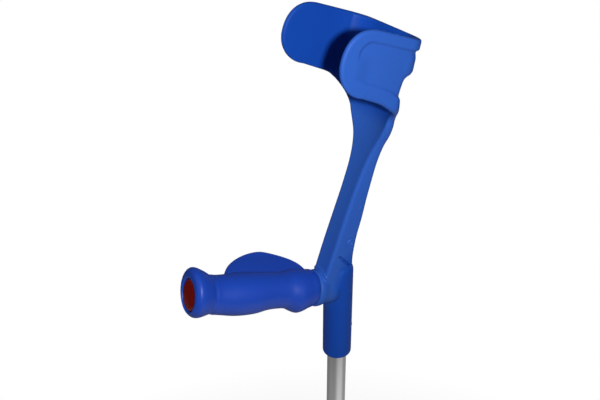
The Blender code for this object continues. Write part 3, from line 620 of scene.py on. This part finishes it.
def finish_piece(piece, body, material, slot, *nodes, angle=35):
    """Give a piece its material, shading and body, and hide the imported parts it stands in for."""
    piece.data.materials.clear()
    piece.data.materials.append(material)
    select_only(piece)
    bpy.ops.object.shade_smooth_by_angle(angle=math.radians(angle))
    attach(piece, body)
    if nodes:
        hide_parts(*nodes)
    return piece


def cuff_sheet():
    """The cuff and shaft, drawn flat with rounded edges and then bent."""
    def size(stations, height):
        return float(smooth_curve(stations, height))

    steps = [(1 - math.sin(a), 1 - math.cos(a)) for a in np.radians(np.linspace(0, 90, 6))]
    rings = [whole_ring(inset, INNER_EDGES, lambda z, s=sunk: size(INNER_EDGES, z) * s)
             for inset, sunk in steps]
    rings += [whole_ring(inset, OUTER_REACH, lambda z, s=sunk:
                         size(THICKNESSES, z) - size(OUTER_EDGES, z) * s)
              for inset, sunk in reversed(steps)]
    sheet = lofted("cuff_sheet", rings)
    apply_modifier(sheet, 'REMESH', mode='VOXEL', voxel_size=VOXEL * 1.1)
    points = np.empty(len(sheet.data.vertices) * 3)
    sheet.data.vertices.foreach_get("co", points)
    points = points.reshape(-1, 3)
    along, depth, height = points.T
    outer = ease(0.45, 0.8, depth / smooth_curve(THICKNESSES, height))
    points[:, 1] = depth - recess_depth(along, height) * outer
    moved = np.vstack([wrap_cuff(part) for part in np.array_split(points, 12)])
    sheet.data.vertices.foreach_set("co", moved.ravel())
    sheet.data.update()
    return put_in_place(sheet, FOREARM)


def joint_relief(points, normals):
    """How far the groove, ring and dot on the joint, and the bead round the stub, stand proud."""
    def bump(height, distance, width):
        return height * np.exp(-(distance / (width * MM)) ** 2)

    place = points[:, (0, 2)] - (0, SLEEVE_BOTTOM)
    rear, front, ring_middle, dot_middle = (
        np.array(mark) * MM for mark in (GROOVE_REAR, GROOVE_FRONT, RING_MIDDLE, DOT_MIDDLE))
    length = np.linalg.norm(front - rear)
    line = (front - rear) / length
    run = (place - rear) @ line
    above = (place[:, 1] - rear[1]) * line[0] - (place[:, 0] - rear[0]) * line[1]
    window = ease(-1 * MM, 2.5 * MM, run) * ease(-1 * MM, 2.5 * MM, length - run)
    groove = bump(0.4, np.abs(above) - 2.4 * MM, 1.0) - bump(2.8, above, 0.9)
    from_ring = np.linalg.norm(place - ring_middle, axis=1)
    ring = (bump(0.9, from_ring - 2.5 * MM, 0.8) - bump(0.8, from_ring, 0.9)
            - bump(0.7, from_ring - 4.0 * MM, 0.8))
    dot = bump(0.8, np.linalg.norm(place - dot_middle, axis=1), 0.9)
    near = normals[:, 1] < -0.3
    sides = (window * groove + near * (ring + dot)) * ease(0.5, 0.8, np.abs(normals[:, 1]))
    turn = np.array(HANDLE.to_3x3())
    local = (points - np.array(HANDLE.translation)) @ turn
    from_axis = np.hypot(local[:, 0], local[:, 1])
    forward = ease(8 * MM, 14 * MM, local[:, 2]) * ease(0.3, 0.6, (normals @ turn)[:, 2])
    return (sides + forward * bump(1.0, from_axis - BEAD_RADIUS, 1.1)) * MM


def make_moulding(material):
    """Cuff, shaft, sleeve and handle core, melted into one skin."""
    high = SLEEVE_BOTTOM + SLEEVE_LENGTH
    outer = SLEEVE_RADIUS - SLEEVE_DOME
    profile = [(0, high)]
    profile += reversed(arc((outer, high - SLEEVE_DOME), SLEEVE_DOME, 0, 90, 8))
    profile += arc((SLEEVE_RADIUS - SLEEVE_EDGE, SLEEVE_BOTTOM + SLEEVE_EDGE), SLEEVE_EDGE,
                   0, -90, 6)
    bore = TUBE_RADIUS + 0.25 * MM
    profile += [(bore, SLEEVE_BOTTOM), (bore, SLEEVE_BOTTOM + 8 * MM), (0, SLEEVE_BOTTOM + 8 * MM)]
    sleeve = turned("sleeve", profile)
    core = turned("handle_core", [
        (0, COLLAR_END + 12 * MM), (11 * MM, COLLAR_END + 12 * MM), (11 * MM, COLLAR_END),
        (COLLAR_RADIUS - 1 * MM, COLLAR_END), (COLLAR_RADIUS - 0.2 * MM, COLLAR_END - 0.8 * MM),
        (COLLAR_RADIUS, COLLAR_END - 2 * MM), (COLLAR_RADIUS, COLLAR_END - 4.5 * MM),
        (COLLAR_RADIUS - 0.8 * MM, COLLAR_END - 7.5 * MM),
        (COLLAR_RADIUS - 1.9 * MM, COLLAR_END - 10.5 * MM), (STUB_RADIUS, COLLAR_END - 17 * MM),
        (STUB_RADIUS, 10 * MM), (STUB_RADIUS - 2 * MM, 3 * MM), (STUB_RADIUS - 5 * MM, -3 * MM),
        (0, -6 * MM)])
    put_in_place(core, HANDLE)
    moulding = joined([cuff_sheet(), sleeve, core], "cuff_and_handle")
    blended(moulding, VOXEL, 7)
    points, normals = points_and_normals(moulding, Matrix())
    points += normals * joint_relief(points, normals)[:, None]
    moulding.data.vertices.foreach_set("co", points.ravel())
    moulding.data.update()
    mark_sheen_share(moulding, moulding_sheen_share(moulding))
    return finish_piece(moulding, "upper", material, "blue_plastic", "handle_moulding", angle=80)


def palm_rest():
    """Dished plate on the outer side of the grip, with a full round edge."""
    xs, ys = np.array(WING).T
    run = np.concatenate(([0], np.cumsum(np.hypot(np.diff(xs), WING_REACH / MM * np.diff(ys)))))
    places = np.linspace(0, 1, 45) * run[-1]
    along, out = np.interp(places, run, xs), np.interp(places, run, ys)
    kernel = np.array([1, 2, 1]) / 4
    for _ in range(3):
        along[1:-1] = np.convolve(along, kernel, 'valid')
        out[1:-1] = np.convolve(out, kernel, 'valid')
    root, edge = WING_THICKNESS

    def ring(shrink, level):
        points = [(o * WING_REACH - shrink * MM * min(1.0, o * 2.2),
                   a + (WING_MIDDLE - a) * shrink / WING_MIDDLE) for a, o in zip(along, out)]
        points = [(1 * MM, points[0][1])] + points + [(1 * MM, points[-1][1])]
        skin = []
        for across, place in points:
            share = across / WING_REACH
            rise = WING_ROOT_RISE + (WING_EDGE_RISE - WING_ROOT_RISE) * share ** 2
            thickness = root + (edge - root) * share
            skin.append((rise - level * thickness, across, GRIP_START + place * MM))
        return skin

    levels = [(1 - math.sin(a), (1 - math.cos(a)) / 2) for a in np.radians(np.linspace(0, 90, 5))]
    rings = [ring(WING_EDGE * shrink, level) for shrink, level in levels]
    rings += [ring(WING_EDGE * shrink, 1 - level) for shrink, level in reversed(levels[:-1])]
    wing = lofted("palm_rest", rings)
    apply_modifier(wing, 'REMESH', mode='VOXEL', voxel_size=GRIP_VOXEL)
    return wing


def make_grip(material):
    """Soft grip with its waist, end lip and pocket, melted together with its palm rest."""
    turns = [2 * math.pi * i / 96 for i in range(96)]

    def ring(radius, place, rise=0.0):
        return [(rise + radius * math.cos(a), radius * math.sin(a), place) for a in turns]

    places = np.concatenate((np.arange(0, 128, 1.5), [128.0, 129.0, 129.8, 130.5])) * MM
    radii = smooth_curve([(place, radius) for place, radius, _ in GRIP], places)
    rises = smooth_curve([(place, rise) for place, _, rise in GRIP], places)
    rings = [ring(radius, GRIP_START + place, rise)
             for radius, place, rise in zip(radii, places, rises)]
    rings += [ring(LIP_RADIUS, GRIP_END, LIP_RISE), ring(15.9 * MM, GRIP_END - 0.3 * MM),
              ring(POCKET_RADIUS, GRIP_END - 1.4 * MM), ring(POCKET_RADIUS, POCKET_FLOOR)]
    grip = put_in_place(joined([lofted("grip_body", rings), palm_rest()], "soft_grip"), HANDLE)
    blended(grip, GRIP_VOXEL, 14)
    return finish_piece(grip, "upper", material, "blue_grip", "grip_sleeve", angle=80)


def make_disc(material):
    """Reflector disc, a little domed, with a rounded edge."""
    edge = 2.4 * MM
    flat = DISC_RADIUS - edge
    profile = [(share * flat, DISC_FACE + rise * MM)
               for share, rise in ((0, 0.3), (0.3, 0.27), (0.6, 0.19), (0.85, 0.08))]
    profile += reversed(arc((flat, DISC_FACE - edge), edge, 0, 88, 8))
    back = POCKET_FLOOR - 0.2 * MM
    profile += [(DISC_RADIUS, back), (0, back)]
    disc = turned("end_disc", profile, sides=128)
    put_in_place(disc, HANDLE)
    return finish_piece(disc, "upper", material, "red_reflector", "end_reflector")


def tube(name, radius, wall, low, high):
    """A thin-walled tube with broken edges."""
    bpy.ops.object.select_all(action='DESELECT')
    bpy.ops.mesh.primitive_cylinder_add(vertices=96, radius=radius, depth=high - low,
                                        end_fill_type='NOTHING')
    piece = bpy.context.object
    piece.name = name
    put_in_place(piece, Matrix.Translation((0, 0, (low + high) / 2)) @ piece.matrix_world)
    piece.matrix_world = Matrix()
    apply_modifier(piece, 'SOLIDIFY', thickness=wall, offset=-1.0)
    apply_modifier(piece, 'BEVEL', width=0.3 * MM, segments=2, limit_method='ANGLE')
    return piece


def turned_to_rear(piece, height):
    """Lay a turned piece along X, with its top to the rear, at a height on the tubes."""
    put_in_place(piece, Matrix.Translation((0, 0, height)) @ Matrix.Rotation(math.pi / 2, 4, 'Y'))


def drill(piece, radius, heights):
    """Round holes through the rear wall of a tube."""
    cutters = []
    for height in heights:
        bpy.ops.mesh.primitive_cylinder_add(vertices=40, radius=radius, depth=12 * MM)
        cutter = bpy.context.object
        put_in_place(cutter, Matrix.Translation((0, 0, 10 * MM)))
        turned_to_rear(cutter, height)
        cutters.append(cutter)
    cutter = joined(cutters, "drill")
    apply_modifier(piece, 'BOOLEAN', object=cutter, operation='DIFFERENCE', solver='EXACT')
    bpy.data.objects.remove(cutter)
    return piece


def make_tubes(material):
    """Upper tube with its row of holes, and leg tube with the button's hole."""
    upper = tube("upper_leg_tube", TUBE_RADIUS, TUBE_WALL, UPPER_TUBE_BOTTOM, UPPER_TUBE_TOP)
    drill(upper, HOLE_RADIUS, [LOWEST_HOLE + i * HOLE_PITCH for i in range(HOLE_COUNT)])
    finish_piece(upper, "upper", material, "anodised_tube", "upper_tube")
    leg = tube("lower_leg_tube", LEG_RADIUS, TUBE_WALL, LEG_BOTTOM, LEG_TOP)
    drill(leg, HOLE_RADIUS, [BUTTON_HEIGHT])
    finish_piece(leg, "leg", material, "anodised_tube", "leg_tube")


def make_collar(material):
    """Ribbed collar on the end of the upper tube, which guides the leg tube."""
    low, high = UPPER_TUBE_BOTTOM - 8 * MM, UPPER_TUBE_BOTTOM + 20 * MM
    outer, bore = TUBE_RADIUS + 2.2 * MM, LEG_RADIUS + 0.15 * MM
    seat, shoulder = TUBE_RADIUS + 0.1 * MM, UPPER_TUBE_BOTTOM - 0.3 * MM
    profile = [(seat + 0.5 * MM, high), (seat + 1.0 * MM, high - 0.25 * MM)]
    profile += arc((outer - 1.2 * MM, high - 2.4 * MM), 1.2 * MM, 80, 0, 4)
    for rib in range(4):
        middle = high - (6.5 + 3.2 * rib) * MM
        profile += [(outer, middle + 0.9 * MM), (outer - 0.35 * MM, middle + 0.4 * MM),
                    (outer - 0.35 * MM, middle - 0.4 * MM), (outer, middle - 0.9 * MM)]
    profile += arc((outer - 1.6 * MM, low + 1.6 * MM), 1.6 * MM, 0, -90, 5)
    profile += [(bore + 0.4 * MM, low), (bore, low + 0.4 * MM), (bore, shoulder), (seat, shoulder),
                (seat, high)]
    collar = turned("guide_collar", profile, closed=True)
    finish_piece(collar, "upper", material, "black_plastic", "tube_collar")


def make_button(material):
    """Domed button with the flange that holds it in the leg tube."""
    tip, radius = 12.4 * MM, 3.5 * MM
    profile = [(0, tip)]
    for a in np.radians(np.linspace(80, 0, 9)):
        profile.append((radius * math.cos(a), tip - 2.2 * MM + 2.2 * MM * math.sin(a)))
    profile += [(radius, 7.0 * MM), (5.0 * MM, 6.9 * MM), (5.0 * MM, 4.3 * MM), (0, 4.3 * MM)]
    button = turned("spring_button", profile, sides=48)
    turned_to_rear(button, BUTTON_HEIGHT)
    finish_piece(button, "button", material, "polished_steel", "height_button")


def make_spring(material):
    """Strip held in the leg tube, whose front end bends back as the button is pressed; it is drawn at
    rest.
    """
    low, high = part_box("button_spring")
    strip, bend = 0.5 * MM, 2.2 * MM
    rear, front = low[0] + strip / 2, high[0] - strip / 2
    foot = low[2] + strip / 2 + bend
    corners = [(front, high[2]), (front, BUTTON_HEIGHT - 7 * MM),
               (0.5 * (rear + bend), foot + 1.4 * bend)]
    corners += arc((rear + bend, foot), bend, -20, -180, 8)
    corners.append((rear, BUTTON_HEIGHT - 4.2 * MM))
    line = [Vector(corners[0])]
    for place in corners[1:]:
        before, after = line[-1], Vector(place)
        steps = max(1, round((after - before).length / (1.5 * MM)))
        line += [before.lerp(after, (i + 1) / steps) for i in range(steps)]
    rings = []
    for i, (x, z) in enumerate(line):
        run = (line[min(i + 1, len(line) - 1)] - line[max(i - 1, 0)]).normalized()
        rings.append([(x - turn * run.y * strip / 2, y, z + turn * run.x * strip / 2)
                      for turn, y in ((-1, low[1]), (-1, high[1]), (1, high[1]), (1, low[1]))])
    spring = lofted("strip_spring", rings)
    spring.data.materials.append(material)
    bpy.ops.object.shade_smooth_by_angle(angle=math.radians(35))
    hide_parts("button_spring")
    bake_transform(spring)


def make_rivet(material):
    """Blind rivet: a low head with the pin's dimple, and its upset end inside the tube."""
    outside, head, rise = SLEEVE_RADIUS + 0.1 * MM, 4.0 * MM, 1.4 * MM
    profile = [(0, outside + rise - 0.5 * MM), (0.8 * MM, outside + rise - 0.5 * MM),
               (1.0 * MM, outside + rise - 0.05 * MM)]
    for a in np.radians(np.linspace(78, 8, 8)):
        profile.append((head * math.cos(a), outside + 0.2 * MM + (rise - 0.2 * MM) * math.sin(a)))
    profile += [(head, outside), (2.0 * MM, outside), (2.0 * MM, 9.0 * MM), (3.0 * MM, 7.6 * MM),
                (3.0 * MM, 5.8 * MM), (0, 5.1 * MM)]
    rivet = turned("blind_rivet", profile, sides=48)
    turned_to_rear(rivet, RIVET_HEIGHT)
    finish_piece(rivet, "upper", material, "rivet_steel", "sleeve_rivet")


def make_ferrule(material):
    """Rubber foot: ribbed neck, flared skirt, and rings under the sole."""
    bore = LEG_RADIUS + 0.05 * MM
    profile = [(0, 0), (10.0 * MM, 0), (10.3 * MM, 1.6 * MM), (11.7 * MM, 1.6 * MM), (12.0 * MM, 0),
               (14.5 * MM, 0), (14.8 * MM, 1.6 * MM), (16.2 * MM, 1.6 * MM), (16.5 * MM, 0)]
    profile += arc((18.0 * MM, 2.0 * MM), 2.0 * MM, -90, 0, 5)
    profile += [(19.9 * MM, 5.0 * MM), (19.6 * MM, 7.0 * MM), (18.9 * MM, 9.0 * MM),
                (17.5 * MM, 11.2 * MM), (16.3 * MM, 14.0 * MM), (15.3 * MM, 17.5 * MM),
                (14.3 * MM, 21.0 * MM), (13.6 * MM, 24.5 * MM)]
    for rib in range(4):
        base = (27.0 + 4.0 * rib) * MM
        profile += [(13.1 * MM, base), (13.55 * MM, base + 0.7 * MM), (13.6 * MM, base + 1.3 * MM),
                    (13.1 * MM, base + 2.0 * MM)]
    profile += [(12.9 * MM, 43.8 * MM), (13.5 * MM, 45.0 * MM), (13.65 * MM, 46.4 * MM)]
    profile += arc((12.25 * MM, 48.6 * MM), 1.4 * MM, 0, 90, 4)
    profile += [(bore + 0.5 * MM, 50 * MM), (bore, 49.4 * MM), (bore, 10 * MM), (0, 10 * MM)]
    ferrule = turned("rubber_ferrule", profile)
    finish_piece(ferrule, "leg", material, "grey_rubber", "ferrule", angle=50)


def dress_hidden(node, material):
    """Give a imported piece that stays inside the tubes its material."""
    piece = bpy.data.objects[node]
    piece.data.materials.clear()
    piece.data.materials.append(material)


def largest(owner, first, *others):
    """The largest of some values, as an output socket."""
    for other in others:
        pair = add_node(owner, "ShaderNodeMath", {"operation": 'MAXIMUM'})
        connect(owner, first, pair.inputs[0])
        connect(owner, other, pair.inputs[1])
        first = pair.outputs[0]
    return first


def light_scene():
    """Studio light: a small key by the camera, soft fills from the left and from behind."""
    world = bpy.context.scene.world or bpy.data.worlds.new("studio")
    bpy.context.scene.world = world
    world.use_nodes = True
    world.node_tree.nodes.clear()
    path = add_node(world, "ShaderNodeLightPath").outputs
    seen = largest(world, path["Is Camera Ray"], path["Is Glossy Ray"], path["Is Transmission Ray"])
    white = add_node(world, "ShaderNodeMapRange", {"To Min": DIM_STUDIO, "To Max": 1.0},
                     {"Value": largest(world, path["Is Camera Ray"], path["Is Transmission Ray"])})
    ambient = add_node(world, "ShaderNodeBackground", {"Color": (1, 1, 1, 1), "Strength": AMBIENT})
    walls = add_node(world, "ShaderNodeBackground", {"Color": (1, 1, 1, 1)},
                     {"Strength": white.outputs["Result"]})
    mix = add_node(world, "ShaderNodeMixShader")
    output = add_node(world, "ShaderNodeOutputWorld")
    connect(world, seen, mix.inputs[0])
    connect(world, ambient.outputs[0], mix.inputs[1])
    connect(world, walls.outputs[0], mix.inputs[2])
    connect(world, mix.outputs[0], output.inputs[0])

    def area(name, place, aim, size, power):
        bpy.ops.object.light_add(type='AREA', location=place)
        lamp = bpy.context.object
        lamp.name = name
        lamp.data.shape = 'DISK'
        lamp.data.size = size
        lamp.data.energy = power
        lamp.rotation_euler = (Vector(aim) - Vector(place)).to_track_quat('-Z', 'Y').to_euler()
        return lamp

    area("key_light", (-0.221, -0.566, 1.312), (0, 0, 1.0), 0.04, 3.9)
    for name, place, size, power in (("left_fill", (-1.1, 0.15, 1.9), 0.8, 3.4),
                                     ("back_fill", (1.5, 1.4, 0.9), 1.2, 12.0)):
        fill = area(name, place, (0, 0, 0.9), size, power)
        fill.visible_glossy = False


def make_floor():
    """Pale floor under the ferrule: it keeps the object's shadow, and turns white further out.

    In reflections it glows, a painted pool of light that is brightest beyond the camera's right side.
    Distances from the foot are in metres.
    """
    bpy.ops.mesh.primitive_circle_add(vertices=64, radius=6.0, fill_type='NGON')
    floor = bpy.context.object
    floor.name = "studio_floor"
    material, shader, place = new_material("white_paper_floor")
    shader.inputs["Base Color"].default_value = linear("#f4f4f4")
    shader.inputs["Roughness"].default_value = 0.9
    distance = add_node(material, "ShaderNodeVectorMath", {"operation": 'LENGTH'})
    connect(material, place, distance.inputs[0])
    across = add_node(material, "ShaderNodeVectorMath", {"operation": 'NORMALIZE'})
    connect(material, place, across.inputs[0])
    toward = add_node(material, "ShaderNodeVectorMath", {"operation": 'DOT_PRODUCT'})
    connect(material, across.outputs["Vector"], toward.inputs[0])
    away = CAMERA_TURN + BRIGHT_SIDE
    toward.inputs[1].default_value = (math.sin(away), math.cos(away), 0)
    # Painted reflection: glossy rays see the floor glow, brightest on one side, dimmer behind and far
    # out
    side = add_node(material, "ShaderNodeMapRange",
                    {"From Min": 0.68, "From Max": 0.95, "To Min": FLOOR_SIDE, "To Max": 1.0},
                    {"Value": toward.outputs["Value"]})
    behind = add_node(material, "ShaderNodeMapRange",
                      {"From Min": -0.95, "From Max": -0.2, "To Min": BACK_SIDE, "To Max": 1.0},
                      {"Value": toward.outputs["Value"]})
    pool = add_node(material, "ShaderNodeMapRange",
                    {"From Min": 1.5, "From Max": 2.2, "To Min": 1.0, "To Max": DIM_STUDIO},
                    {"Value": distance.outputs["Value"]})
    pool_glow = side.outputs["Result"]
    for part in (behind, pool):
        product = add_node(material, "ShaderNodeMath", {"operation": 'MULTIPLY'})
        connect(material, pool_glow, product.inputs[0])
        connect(material, part.outputs["Result"], product.inputs[1])
        pool_glow = product.outputs[0]
    path = add_node(material, "ShaderNodeLightPath").outputs
    far = add_node(material, "ShaderNodeMapRange",
                   {"From Min": 0.25, "From Max": 0.9, "To Min": NEAR_GLOW},
                   {"Value": distance.outputs["Value"]})
    shown = add_node(material, "ShaderNodeMath", {"operation": 'MULTIPLY'})
    connect(material, far.outputs["Result"], shown.inputs[0])
    seen = largest(material, path["Is Camera Ray"], path["Is Glossy Ray"], path["Is Transmission Ray"])
    connect(material, seen, shown.inputs[1])
    white = largest(material, pool_glow, path["Is Camera Ray"], path["Is Transmission Ray"])
    glow = add_node(material, "ShaderNodeEmission", {"Color": (1, 1, 1, 1)}, {"Strength": white})
    mix = add_node(material, "ShaderNodeMixShader")
    connect(material, shown.outputs[0], mix.inputs[0])
    connect(material, shader.outputs[0], mix.inputs[1])
    connect(material, glow.outputs[0], mix.inputs[2])
    output = material.node_tree.nodes["Material Output"]
    connect(material, mix.outputs[0], output.inputs["Surface"])
    floor.data.materials.append(material)
    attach(floor, "leg")


place_camera()
bpy.context.scene.view_settings.view_transform = 'Standard'
light_scene()
make_floor()

# Moulded polypropylene: deep blue where the tool is polished, on the sleeve and inside the cuff,
# and paler where it is spark-eroded to a satin face; that paler blue is a painted sheen
polypropylene = blue_plastic("moulded_polypropylene", "#124cb6", "#3062c4", 0.50, 0.17, 1.4, 0.05)
# Moulded thermoplastic elastomer: a slightly warmer, even blue with broad, soft highlights
grip_rubber = blue_plastic("soft_touch_elastomer", "#1c4abe", "#1c4abe", 0.43, 0.40, 0.9, 0.05)
# Drawn aluminium, clear anodised: pale grey, with soft reflections drawn out along the tube
aluminium = drawn_metal("anodised_aluminium", "#d4d3d4", 0.32)
# Bright steel: a darker grey, with sharper reflections than the tubes
steel = drawn_metal("bright_steel", "#b4b4b6", 0.22)
# Moulded rubber: dark grey, matt and a little dusty
rubber = matt_plastic("grey_rubber", "#3a3a3c", 0.75, 0.8)
# Moulded nylon: black with a dull shine
black = matt_plastic("black_nylon", "#161617", 0.5, 1.2)
# Moulded acetal: milky white, hidden inside the tubes
acetal = matt_plastic("white_acetal", "#dcdcd8", 0.4, 1.5)

make_moulding(polypropylene)
make_grip(grip_rubber)
make_disc(reflector_red())
make_tubes(aluminium)
make_collar(black)
make_button(steel)
make_spring(steel)
make_rivet(steel)
make_ferrule(rubber)
dress_hidden("leg_top_bush", acetal)
dress_hidden("ferrule_washer", steel)
